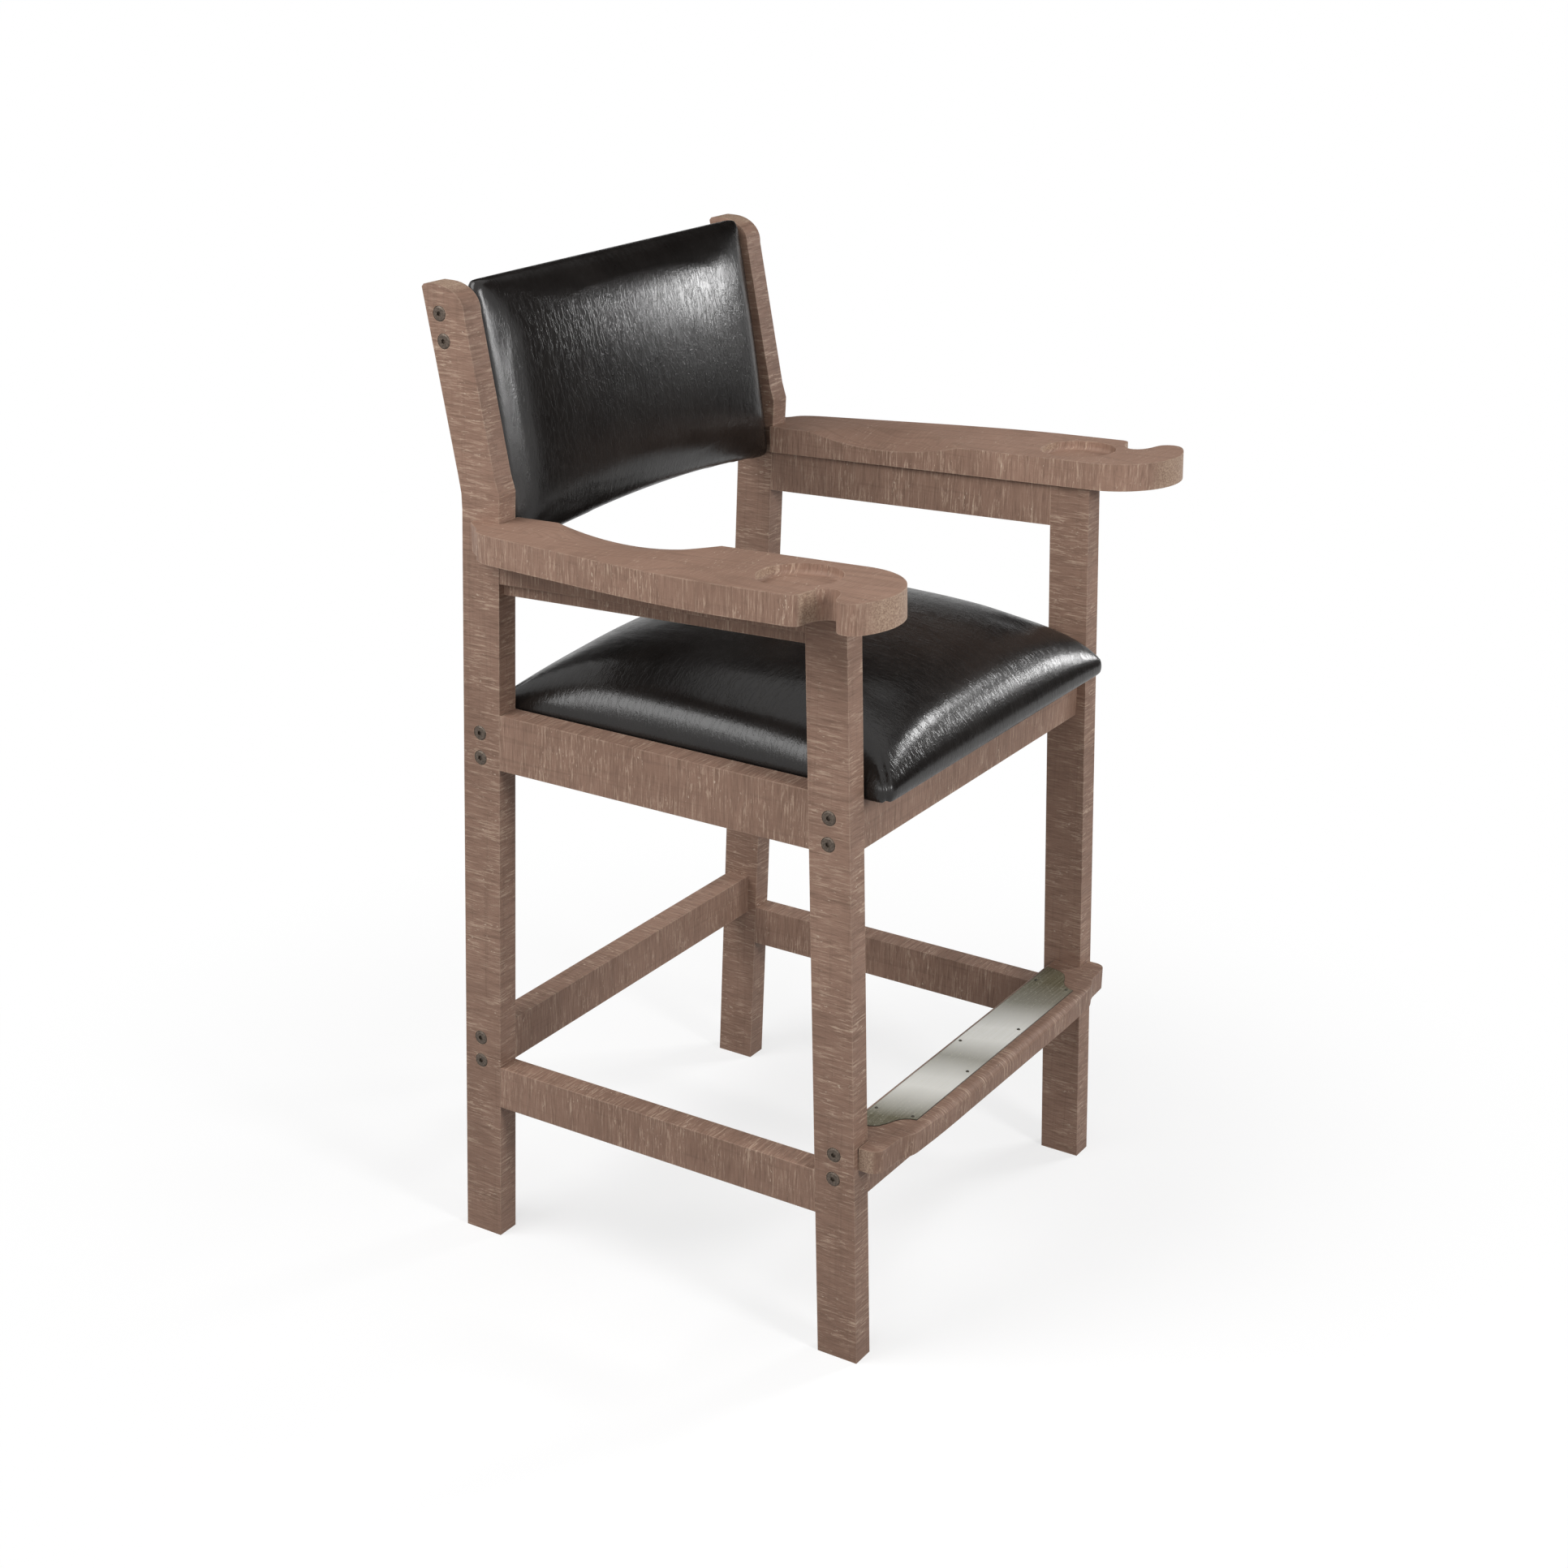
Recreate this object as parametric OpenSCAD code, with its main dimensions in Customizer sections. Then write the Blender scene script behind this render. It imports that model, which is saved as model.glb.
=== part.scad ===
// Tall spectator chair: two wooden side frames joined by bolted cross rails,
// a padded seat and back, wide armrests with a round recess and a cue notch,
// and a foot board with a metal wear plate.
// Millimetres, +Z up. The front of the chair faces -Y.

/* [Side frames] */

// Width over the outer faces of the two side frames
frame_w = 641; // [580:1:700]

// Depth from the rear post's rear face to the front post's front face at seat height
frame_d = 540; // [510:1:580]

// Thickness of every post and side rail
post_t = 32; // [28:1:36]

// Depth of every post, front to back
post_d = 54; // [50:1:58]

// Height of the rear posts
back_h = 1232; // [1200:1:1260]

// Height at which the rear posts bend backwards
bend_z = 985; // [965:1:1000]

// Angle of the rear posts above the bend
back_rake = 12.2; // [10:0.1:14]

// Forward lean of the rear legs
rear_lean = 1.09; // [0.5:0.01:1.6]

// Forward splay of the front legs
front_splay = 2.67; // [1.5:0.01:3.2]

// Radius of the rounded front top corner of the rear posts
top_r = 40; // [25:1:44]

// Height of the bottom edge of the lower side rails
low_rail_z = 188; // [150:1:196]

// Height of the lower side rails' section
low_rail_h = 56; // [45:1:60]

// Height of the bottom edge of the side seat rails
seat_rail_z = 649; // [644:1:655]

// Height of the side seat rails' section
seat_rail_h = 71; // [66:1:74]

/* [Cross rails] */

// Thickness of the cross rails
cross_t = 32; // [28:1:34]

// Set-back of the front seat rail behind the front posts' front faces
front_set = 12; // [8:1:14]

// Height of the bottom edge of the front and rear seat rails
cross_z = 640; // [636:1:644]

// Height of the front and rear seat rails' section
cross_h = 66; // [63:1:70]

// Set-back of the rear cross rails in front of the rear posts' rear faces
rear_set = 9; // [6:1:12]

// Height of the bottom edge of the rear stretcher
stretch_z = 234; // [225:1:250]

// Height of the rear stretcher's section
stretch_h = 56; // [50:1:64]

// Height of the front foot rail's section under the foot board
foot_rail_h = 56; // [50:1:62]

/* [Foot board] */

// Height of the underside of the foot board
board_z = 256; // [252:1:262]

// Thickness of the foot board
board_h = 29; // [27:1:32]

// Reach of the foot board in front of the front posts
board_reach = 43; // [36:1:50]

// Reach of the board's ears in front of the front posts
ear_reach = 27; // [22:1:32]

// Part of the post's width that each ear covers
ear_side = 23; // [18:1:28]

// Depth of the foot board behind the front posts' front faces
board_back = 42; // [38:1:46]

// Rounding of the front edge of the foot board
board_r = 11; // [6:1:13]

/* [Wear plate] */

// Gap between the front posts' inner faces and the ends of the wear plate
plate_end = 26.5; // [18:0.5:40]

// Depth of the wear plate
plate_w = 61; // [54:1:64]

// Thickness of the wear plate
plate_t = 1; // [0.8:0.1:1.4]

/* [Armrests] */

// Height of the armrests' underside at the rear posts
arm_z = 924; // [915:1:932]

// Upward slope of the armrests towards the front
arm_slope = 2.43; // [1.5:0.01:3]

// Thickness of the armrests
arm_t = 35; // [32:1:40]

// Distance by which the armrest stands inside the posts' inner faces
arm_in = 6; // [3:1:9]

// Width of the armrests at the round recess
arm_w = 138.5; // [132:0.5:144]

// Width of the armrests beside the rear posts
arm_back_w = 86; // [78:1:94]

// Reach of the armrests in front of the front posts
arm_reach = 87; // [80:1:94]

// Radius of the rounded nose of the armrests
nose_r = 82.5; // [80:0.5:85]

// Diameter of the round recess in the armrests
cup_d = 97; // [88:1:102]

// Depth of the round recess
cup_depth = 12; // [8:1:15]

// Length of the dished scoop in the armrests' inner edge
scoop_l = 230; // [180:1:250]

// Depth of the dished scoop
scoop_depth = 15; // [8:1:18]

// Height of the rails under the armrests
arm_rail_h = 54; // [46:1:60]

// Thickness of the rails under the armrests
arm_rail_t = 22; // [18:1:24]

// Height of the outer cleats under the armrests
cleat_h = 39; // [30:1:44]

/* [Seat pad] */

// Overhang of the seat pad in front of the front posts
seat_over = 33; // [26:1:38]

// Thickness of the seat board
seat_board_t = 12; // [9:1:14]

// Height of the seat pad's crown above its widest edge
seat_crown = 76; // [60:1:84]

// Corner radius of the seat pad
seat_r = 30; // [20:1:40]

// Width of the seat cleats on the side rails
seat_cleat_w = 20; // [16:1:26]

/* [Back pad] */

// Rake of the back pad
pad_rake = 10.2; // [9:0.1:11.5]

// Height of the lower corners of the back pad
pad_z = 916; // [910:1:922]

// Drop of the back pad's top edge below the tops of the rear posts
pad_drop = 2; // [0:0.5:14]

// Rise of the arched lower edge of the back pad
pad_arch = 19; // [12:1:26]

// Thickness of the back board
pad_board_t = 10; // [8:1:10]

// Crown of the back pad in front of its edge
pad_crown = 34; // [24:1:44]

// Height of the upper back rail's section
back_rail_h = 66; // [58:1:72]

// Height of the lower back rail's section
low_back_h = 45; // [36:1:50]

/* [Fasteners] */

// Diameter of the bolt heads
head_d = 17.5; // [14:0.5:18]

// Spacing of each pair of bolts
bolt_pitch = 32; // [28:1:34]

// Diameter of the bolt shanks
shank_d = 6; // [5:0.5:7]

// Depth of the counterbores for the bolt heads
cbore = 2.5; // [1.5:0.5:3]

// Diameter of the barrel nuts
nut_d = 10; // [9:0.5:12]

// Diameter of the dowels
dowel_d = 10; // [8:1:10]

/* [Colours] */

// Colour of the frame wood
wood = [0.55, 0.44, 0.38];
// Colour of the armrest wood
wood_light = [0.60, 0.49, 0.42];
// Colour of the boards and other inner wood
ply = [0.72, 0.60, 0.44];
// Colour of the covers
hide = [0.10, 0.10, 0.11];
// Colour of the linings
cloth = [0.16, 0.16, 0.17];
// Colour of the foam
foam = [0.90, 0.86, 0.70];
// Colour of the wear plate and the hidden steel
steel = [0.62, 0.63, 0.57];
// Colour of the bolts and screws
bronze = [0.20, 0.17, 0.15];

/* [Hidden] */

$fn = 64;
xo = frame_w / 2;
xi = xo - post_t;
tr = tan(rear_lean);
tf = tan(front_splay);
tb = tan(back_rake);
ref_z = 733;
cushion_r = 1.8;

function rear_y(z) = (ref_z - min(z, bend_z)) * tr + max(z - bend_z, 0) * tb;
function rear_in(z) = rear_y(z) - post_d;
function front_y(z) = -frame_d - (ref_z - z) * tf;
function front_in(z) = front_y(z) + post_d;

ca = cos(arm_slope);
sa = sin(arm_slope);
pivot_y = rear_in(arm_z);
arm_top_y = rear_in(arm_z + arm_t) - 0.4;
nose_c = front_y(arm_z) - arm_reach - pivot_y + nose_r;
y_min = min(pivot_y + (nose_c - nose_r) * ca, front_y(board_z + board_h) - board_reach);
y_max = rear_y(back_h - 6);
y_mid = (y_min + y_max) / 2;

seat_z = cross_z + cross_h;
foot_rail_z = board_z - foot_rail_h;
foot_y = front_y(board_z);
bolt_front_y = front_y(cross_z + cross_h / 2) + front_set + cross_t / 2;
bolt_rear_y = rear_y(cross_z + cross_h / 2) - rear_set - cross_t / 2;
bolt_low_y = rear_y(stretch_z + stretch_h / 2) - rear_set - cross_t / 2 + 1;
bolt_foot_y = foot_y + front_set + cross_t / 2;
bolt_seat_z = cross_z + cross_h / 2 + 3;
bolt_low_z = stretch_z + stretch_h / 2 + 1;
bolt_foot_z = board_z + board_h / 2 - bolt_pitch / 2 + 1;
back_rail_t = 26;
pad_back = pad_board_t + 2;
pad_l = (back_h - pad_drop - pad_z) / cos(pad_rake);
bolt_pad_w = pad_l - back_rail_h / 2 - 12;
bolt_pad_n = pad_back + back_rail_t / 2;
pad_y0 = rear_in(pad_z) + 4;

// Puts the chair's plan centre on the origin.
module place() {
    translate([0, -y_mid, 0]) children();
}

// Side profile given as [y, z] points, extruded along X from x0.
module slab(x0, t, pts) {
    translate([x0, 0, 0]) rotate([90, 0, 90]) linear_extrude(t) polygon(pts);
}

// Frame of the armrests: origin at the rear post, X outwards, -Y forwards along the slope.
module arm_frame() {
    translate([0, pivot_y, arm_z]) rotate([-arm_slope, 0, 0]) children();
}

// Frame of the back pad: Y up along the pad, Z towards the sitter.
module pad_frame() {
    translate([0, pad_y0, pad_z]) rotate([90 - pad_rake, 0, 0]) children();
}

module right() {
    mirror([1, 0, 0]) children();
}

function arc(cx, cy, r, a0, a1, n) = [for (i = [0 : n]) let(a = a0 + (a1 - a0) * i / n)
    [cx + r * cos(a), cy + r * sin(a)]];

function bez(p, q, r, s, n) = [for (i = [1 : n]) let(t = i / n, u = 1 - t)
    u * u * u * p + 3 * u * u * t * q + 3 * u * t * t * r + t * t * t * s];

// One bolt's clearance: counterbore, shank hole and the barrel nut's blind bore.
// dir is the side (+1 or -1 along Y) from which the nut goes in.
module bolt_void(dir, reach) {
    rotate([0, 90, 0]) translate([0, 0, xo - cbore]) cylinder(d = head_d + 1, h = cbore + 1);
    rotate([0, 90, 0]) translate([0, 0, xi - 62]) cylinder(d = shank_d + 0.6, h = post_t + 62);
    nut_bore(dir, reach);
}

module nut_bore(dir, reach) {
    translate([xi - 45, -dir * 8, 0]) rotate([-dir * 90, 0, 0]) cylinder(d = nut_d, h = 8 + reach);
}

module bolt() {
    rotate([0, 90, 0]) difference() {
        union() {
            translate([0, 0, xi - 57]) cylinder(d = shank_d, h = post_t + 57 - cbore);
            translate([0, 0, xo - cbore]) cylinder(d = head_d, h = cbore);
            translate([0, 0, xo]) cylinder(d1 = head_d, d2 = head_d - 3, h = 1);
        }
        translate([0, 0, xo - 1.5]) linear_extrude(3) polygon(arc(0, 0, 3.2, 0, 300, 5));
    }
}

module nut() {
    translate([xi - 45, 0, 0]) difference() {
        translate([0, 8, 0]) rotate([90, 0, 0]) cylinder(d = nut_d, h = 16);
        rotate([0, 90, 0]) translate([0, 0, -nut_d]) cylinder(d = shank_d, h = 2 * nut_d);
    }
}

// Places one bolt, nut or void at each of the bolt positions of one side.
module at_front_seat() {
    for (s = [-0.5, 0.5]) translate([0, bolt_front_y, bolt_seat_z + s * bolt_pitch]) children();
}

module at_rear_seat() {
    for (s = [-0.5, 0.5]) translate([0, bolt_rear_y, bolt_seat_z + s * bolt_pitch]) children();
}

module at_stretcher() {
    for (s = [-0.5, 0.5]) translate([0, bolt_low_y, bolt_low_z + s * bolt_pitch]) children();
}

module at_foot() {
    for (s = [-0.5, 0.5]) translate([0, bolt_foot_y, bolt_foot_z + s * bolt_pitch]) children();
}

module at_pad() {
    pad_frame() for (s = [-0.5, 0.5])
        translate([0, bolt_pad_w + s * bolt_pitch, -bolt_pad_n]) rotate([-90, 0, 0]) children();
}

module all_bolt_voids() {
    at_front_seat() bolt_void(1, cross_t);
    at_rear_seat() bolt_void(-1, cross_t);
    at_stretcher() bolt_void(1, cross_t);
    at_foot() bolt_void(1, cross_t);
    at_pad() bolt_void(-1, cross_t);
}

// Dowels that join the side rails, the rails under the armrests and the back rail.
dowel_in = 18;

module dowel_at(y, z, grow) {
    translate([xi + post_t / 2, y + dowel_in, z]) rotate([90, 0, 0])
        cylinder(d = dowel_d, h = 2 * dowel_in + grow);
}

module rail_dowels(z0, h) {
    for (s = [0.25, 0.75]) {
        dowel_at(rear_in(z0 + s * h), z0 + s * h, 0);
        dowel_at(front_in(z0 + s * h), z0 + s * h, 0);
    }
}

module arm_rail_dowels() {
    for (s = [0.3, 0.7]) {
        arm_frame() translate([xi + arm_rail_t / 2, 16, -s * arm_rail_h]) rotate([90, 0, 0])
            cylinder(d = 8, h = 36);
        arm_frame() translate([xi + arm_rail_t / 2, arm_front_v + 20, -s * arm_rail_h]) rotate([90, 0, 0])
            cylinder(d = 8, h = 36);
    }
}

module arm_post_dowel() {
    arm_frame() translate([xi + post_t / 2, arm_front_v - post_d / 2, -20]) cylinder(d = dowel_d, h = 40);
}

module back_rail_dowels() {
    pad_frame() for (s = [0.28, 0.72])
        translate([xi - 20, low_back_w + s * low_back_h, -pad_back - back_rail_t / 2]) rotate([0, 90, 0])
            cylinder(d = 8, h = 38);
}

arm_front_v = (front_in(arm_z) - pivot_y) / ca;
low_back_w = pad_arch + 12;

module dowels_one_side() {
    rail_dowels(low_rail_z, low_rail_h);
    rail_dowels(seat_rail_z, seat_rail_h);
    arm_rail_dowels();
    arm_post_dowel();
    back_rail_dowels();
}

// Rear post outline: leg with a slight lean, raked top with a rounded front corner.
module back_post_shape() {
    soft = 16;
    tz = back_h;
    ty = rear_y(tz - 6) - 3;
    cz = tz - top_r - 1;
    cy = rear_y(cz) - post_d / cos(back_rake) * 1 + top_r / cos(back_rake) + 1;
    corner = [for (a = [170 : -8 : 90])
        [cy + top_r * cos(a + back_rake * (a - 90) / 80), cz + top_r * sin(a)]];
    slab(xi, post_t, concat(
        [[rear_y(0), 0],
        [rear_y(bend_z - soft), bend_z - soft],
        [rear_y(bend_z) + 1.1, bend_z + 3],
        [rear_y(bend_z + soft + 6), bend_z + soft + 6],
        [rear_y(tz - 6), tz - 6],
        [rear_y(tz - 6) - 3, tz - 2.5],
        [cy + 12, tz - 1]],
        [for (i = [len(corner) - 1 : -1 : 0]) corner[i]],
        [[rear_in(bend_z + soft + 12), bend_z + soft + 12],
        [rear_in(bend_z) - 0.4, bend_z + 8],
        [rear_in(bend_z - soft), bend_z - soft],
        [rear_in(0), 0]]));
}

module back_post() {
    difference() {
        back_post_shape();
        all_bolt_voids();
        dowels_one_side();
    }
}

module back_post_left() {
    color(wood) place() back_post();
}

module back_post_right() {
    color(wood) place() right() back_post();
}

// Front post: straight splayed leg whose top is cut to the armrest's slope.
module front_post() {
    z1 = arm_z - (front_in(arm_z) - pivot_y) * sa / ca;
    z2 = arm_z - (front_y(arm_z) - pivot_y) * sa / ca;
    difference() {
        slab(xi, post_t, [[front_y(0), 0], [front_in(0), 0],
            [front_in(z1), z1], [front_y(z2), z2]]);
        all_bolt_voids();
        dowels_one_side();
    }
}

module front_post_left() {
    color(wood) place() front_post();
}

module front_post_right() {
    color(wood) place() right() front_post();
}

module side_rail(z0, h) {
    difference() {
        slab(xi, post_t, [[rear_in(z0), z0], [rear_in(z0 + h), z0 + h],
            [front_in(z0 + h), z0 + h], [front_in(z0), z0]]);
        rail_dowels(z0, h);
    }
}

module lower_side_rail_left() {
    color(wood) place() side_rail(low_rail_z, low_rail_h);
}

module lower_side_rail_right() {
    color(wood) place() right() side_rail(low_rail_z, low_rail_h);
}

module seat_side_rail_left() {
    color(wood) place() side_rail(seat_rail_z, seat_rail_h);
}

module seat_side_rail_right() {
    color(wood) place() right() side_rail(seat_rail_z, seat_rail_h);
}

module both() {
    children();
    mirror([1, 0, 0]) children();
}

module front_seat_rail() {
    color(wood) place() difference() {
        translate([-xi, bolt_front_y - cross_t / 2, cross_z]) cube([2 * xi, cross_t, cross_h]);
        both() at_front_seat() bolt_void(1, cross_t);
    }
}

module rear_seat_rail() {
    color(wood) place() difference() {
        translate([-xi, bolt_rear_y - cross_t / 2, cross_z]) cube([2 * xi, cross_t, cross_h]);
        both() at_rear_seat() bolt_void(-1, cross_t);
    }
}

module rear_stretcher() {
    color(wood) place() difference() {
        translate([-xi, bolt_low_y - cross_t / 2, stretch_z]) cube([2 * xi, cross_t, stretch_h]);
        both() at_stretcher() bolt_void(1, cross_t);
    }
}

module front_foot_rail() {
    color(wood) place() difference() {
        translate([-xi, bolt_foot_y - cross_t / 2, foot_rail_z]) cube([2 * xi, cross_t, foot_rail_h]);
        both() at_foot() bolt_void(1, cross_t);
    }
}

// Half of the foot board's plan, from the rear middle round the ear to the front middle.
function board_half() = concat(
    [[0, foot_y + board_back], [xi, foot_y + board_back], [xi, foot_y - 0.2],
    [xi + ear_side, foot_y - 0.2]],
    arc(xi + ear_side - 15, foot_y - ear_reach + 15, 15, 0, -90, 7),
    bez([xi - 12, foot_y - ear_reach - 1], [xi - 34, foot_y - ear_reach - 1],
        [xi - 36, foot_y - board_reach + 6], [xi - 54, foot_y - board_reach + 5], 6),
    [[xi - 120, foot_y - board_reach + 2], [xi - 200, foot_y - board_reach + 0.5]]);

module board_plan(z0, h) {
    half = board_half();
    other = [for (i = [len(half) - 1 : -1 : 0]) [-half[i][0], half[i][1]]];
    translate([0, 0, z0]) linear_extrude(h) polygon(concat(half, [[0, foot_y - board_reach]], other));
}

module foot_board() {
    fy = foot_y - board_reach;
    color(wood) place() difference() {
        intersection() {
            board_plan(board_z, board_h);
            slab(-xo, 2 * xo, concat(
                [[foot_y + board_back + 1, board_z], [foot_y + board_back + 1, board_z + board_h - 3],
                [foot_y + board_back - 3, board_z + board_h]],
                arc(fy + board_r, board_z + board_h - board_r, board_r, 90, 180, 8),
                arc(fy + 5, board_z + 5, 5, 180, 270, 4)));
        }
        both() at_foot() bolt_void(1, board_back);
        at_plate_screws() screw_hole(2.5, 14);
    }
}

plate_y = foot_y + board_back - 5;
plate_l = 2 * (xi - plate_end);

// Wear plate plan: straight edges with ogee ends.
function plate_half() = concat(
    [[0, plate_y], [plate_l / 2, plate_y]],
    bez([plate_l / 2, plate_y], [plate_l / 2 - 1, plate_y - plate_w * 0.24],
        [plate_l / 2 - 5, plate_y - plate_w * 0.5], [plate_l / 2 - 16, plate_y - plate_w * 0.54], 6),
    bez([plate_l / 2 - 16, plate_y - plate_w * 0.54], [plate_l / 2 - 22, plate_y - plate_w * 0.64],
        [plate_l / 2 - 44, plate_y - plate_w * 0.62], [plate_l / 2 - 48, plate_y - plate_w], 8));

module at_plate_screws() {
    far = plate_l / 2 - 52;
    for (x = [-far, -far / 3, far / 3, far])
        translate([x, plate_y - plate_w + 8, board_z + board_h]) children();
    for (x = [-far - 5, 0, far + 5]) translate([x, plate_y - 6, board_z + board_h]) children();
}

module screw_hole(d, deep) {
    translate([0, 0, -deep]) cylinder(d = d, h = deep + 5, $fn = 24);
}

module foot_plate() {
    half = plate_half();
    other = [for (i = [len(half) - 1 : -1 : 1]) [-half[i][0], half[i][1]]];
    color(steel) place() difference() {
        translate([0, 0, board_z + board_h]) linear_extrude(plate_t) polygon(concat(half, other));
        at_plate_screws() screw_hole(2.9, 1);
    }
}

module plate_screws() {
    color(bronze) place() at_plate_screws() {
        translate([0, 0, -12]) cylinder(d = 2.5, h = 12 + plate_t, $fn = 24);
        translate([0, 0, plate_t]) cylinder(d1 = 4.6, d2 = 3, h = 1, $fn = 24);
    }
}

module arm_rail() {
    difference() {
        intersection() {
            arm_frame() translate([xi, -frame_d, -arm_rail_h]) cube([arm_rail_t, frame_d + 50, arm_rail_h]);
            slab(xi, post_t, [[rear_in(arm_z - 100), arm_z - 100], [rear_in(arm_z), arm_z],
                [rear_in(arm_z + 40), arm_z + 40], [front_in(arm_z + 40), arm_z + 40],
                [front_in(arm_z - 100), arm_z - 100]]);
        }
        arm_rail_dowels();
        at_arm_screws() arm_screw_void();
    }
}

module at_arm_screws() {
    for (s = [0.15, 0.5, 0.83]) arm_frame() translate([xi + arm_rail_t / 2, arm_front_v * s, 0]) children();
}

module arm_screw_void() {
    translate([0, 0, -arm_rail_h - 1]) cylinder(d = 9, h = arm_rail_h - 27, $fn = 32);
    translate([0, 0, -30]) cylinder(d = 4, h = 44, $fn = 24);
}

module arm_screw() {
    translate([0, 0, -31]) cylinder(d = 8, h = 3, $fn = 32);
    translate([0, 0, -29]) cylinder(d = 4, h = 43, $fn = 24);
}

module arm_rail_left() {
    color(wood) place() arm_rail();
}

module arm_rail_right() {
    color(wood) place() right() arm_rail();
}

// Outer cleat that fills the rail out to the posts' outer faces, right under the armrest.
module arm_cleat() {
    intersection() {
        arm_frame() translate([xi + arm_rail_t, -frame_d, -cleat_h])
            cube([post_t - arm_rail_t, frame_d + 50, cleat_h]);
        slab(xi, post_t, [[rear_in(arm_z - 100), arm_z - 100], [rear_in(arm_z), arm_z],
            [rear_in(arm_z + 40), arm_z + 40], [front_in(arm_z + 40), arm_z + 40],
            [front_in(arm_z - 100), arm_z - 100]]);
    }
}

module arm_cleat_left() {
    color(wood) place() arm_cleat();
}

module arm_cleat_right() {
    color(wood) place() right() arm_cleat();
}

ax = xi - arm_in;
nx = ax + nose_r;
ay = ax + arm_w;
ab = ax + arm_back_w;
av = arm_top_y - pivot_y;

// Armrest plan: notched round the rear post, widening forwards, with a cue notch and a rounded nose.
function arm_plan() = concat(
    [[ax, av], [xo, av], [xo, av + 36], [xo + 7, av + 35]],
    bez([xo + 7, av + 35], [xo + 19, av + 25], [xo + 24, av + 10], [xo + 38, av + 4], 6),
    bez([xo + 38, av + 4], [ab - 1, av - 2], [ab + 4, av - 20], [ab + 8, av - 46], 6),
    bez([ab + 8, av - 46], [ab + 20, av - 120], [ay, av - 270], [ay, av - 370], 12),
    bez([ay, nose_c + 25.5], [ay, nose_c + 10], [ay - 6, nose_c + 8], [ay - 17, nose_c + 7.5], 6),
    bez([ay - 17, nose_c + 7.5], [nx + 25, nose_c + 5.5],
        [nx + 12, nose_c - 2.5], [nx + 14, nose_c - 14.5], 8),
    bez([nx + 14, nose_c - 14.5], [nx + 16, nose_c - 28.5],
        [nx + 35, nose_c - 31.5], [nx + 45, nose_c - 34.5], 8),
    bez([nx + 45, nose_c - 34.5], [nx + 56, nose_c - 38], [nx + 62, nose_c - 52], [nx + 52, nose_c - 64], 8),
    arc(nx, nose_c, nose_r, -53, -180, 24));

cup_x = ax + 64.5;
cup_v = nose_c + 48.5;
scoop_v = av - 58 - scoop_l / 2;
scoop_run = 74;

module armrest() {
    sr = scoop_l * scoop_l / (8 * scoop_depth) + scoop_depth / 2;
    difference() {
        arm_frame() linear_extrude(arm_t) polygon(arm_plan());
        // round recess with a coved floor
        arm_frame() translate([cup_x, cup_v, arm_t - cup_depth]) rotate_extrude($fn = 96) polygon(concat(
            [[0, 0], [cup_d / 2 - 6, 0]],
            arc(cup_d / 2 - 6, 6, 6, -80, 0, 5),
            [[cup_d / 2, cup_depth + 2], [0, cup_depth + 2]]));
        // dished scoop in the inner edge
        arm_frame() translate([ax, scoop_v, arm_t - scoop_depth])
            rotate([0, -atan(scoop_depth / scoop_run), 0])
            translate([-30, 0, sr]) rotate([0, 90, 0]) cylinder(r = sr, h = scoop_run + 60, $fn = 200);
        at_arm_screws() translate([0, 0, -5]) cylinder(d = 4, h = 19, $fn = 24);
        arm_post_dowel();
    }
}

module armrest_left() {
    color(wood_light) place() armrest();
}

module armrest_right() {
    color(wood_light) place() right() armrest();
}

module armrest_screws() {
    color(bronze) place() both() at_arm_screws() arm_screw();
}

// Seat cleats on the inner faces of the side rails.
cleat_y0 = bolt_front_y + cross_t / 2;
cleat_y1 = bolt_rear_y - cross_t / 2;

module at_seat_screws() {
    for (s = [0.15, 0.5, 0.85])
        translate([xi - seat_cleat_w / 2 - 1, cleat_y0 + (cleat_y1 - cleat_y0) * s, seat_z]) children();
}

module seat_cleat() {
    difference() {
        translate([xi - seat_cleat_w, cleat_y0, seat_z - 28]) cube([seat_cleat_w, cleat_y1 - cleat_y0, 28]);
        at_seat_screws() translate([0, 0, -30]) cylinder(d = 4, h = 40, $fn = 24);
        at_seat_screws() translate([0, 0, -30]) cylinder(d = 8.4, h = 6, $fn = 32);
    }
}

module seat_cleat_left() {
    color(ply) place() seat_cleat();
}

module seat_cleat_right() {
    color(ply) place() right() seat_cleat();
}

module seat_screws() {
    color(bronze) place() both() at_seat_screws() {
        translate([0, 0, -26]) cylinder(d = 8, h = 2, $fn = 32);
        translate([0, 0, -25]) cylinder(d = 4, h = 36, $fn = 24);
    }
}

function rise(x, a, arch) = arch * (1 - x * x / a / a);

// Outline of a pad: half width a, from y0 to y1, corner radius r, arch at the y0 edge.
function pad_outline(a, y0, y1, r, arch) = let(n = 5) concat(
    [for (i = [1 : n]) let(x = -a + r + (2 * a - 2 * r) * i / (n + 1)) [x, y0 + rise(x, a, arch)]],
    [for (i = [0 : 3]) let(x = a - r + r * sin(i * 30)) [x, y0 + r - r * cos(i * 30) + rise(x, a, arch)]],
    [for (i = [1 : n]) [a, y0 + r + (y1 - y0 - 2 * r) * i / (n + 1)]],
    [for (i = [0 : 3]) [a - r + r * cos(i * 30), y1 - r + r * sin(i * 30)]],
    [for (i = [1 : n]) [a - r - (2 * a - 2 * r) * i / (n + 1), y1]],
    [for (i = [0 : 3]) [-a + r - r * sin(i * 30), y1 - r + r * cos(i * 30)]],
    [for (i = [1 : n]) [-a, y1 - r - (y1 - y0 - 2 * r) * i / (n + 1)]],
    [for (i = [0 : 3]) let(x = -a + r - r * cos(i * 30)) [x, y0 + r - r * sin(i * 30) + rise(x, a, arch)]]);

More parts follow.
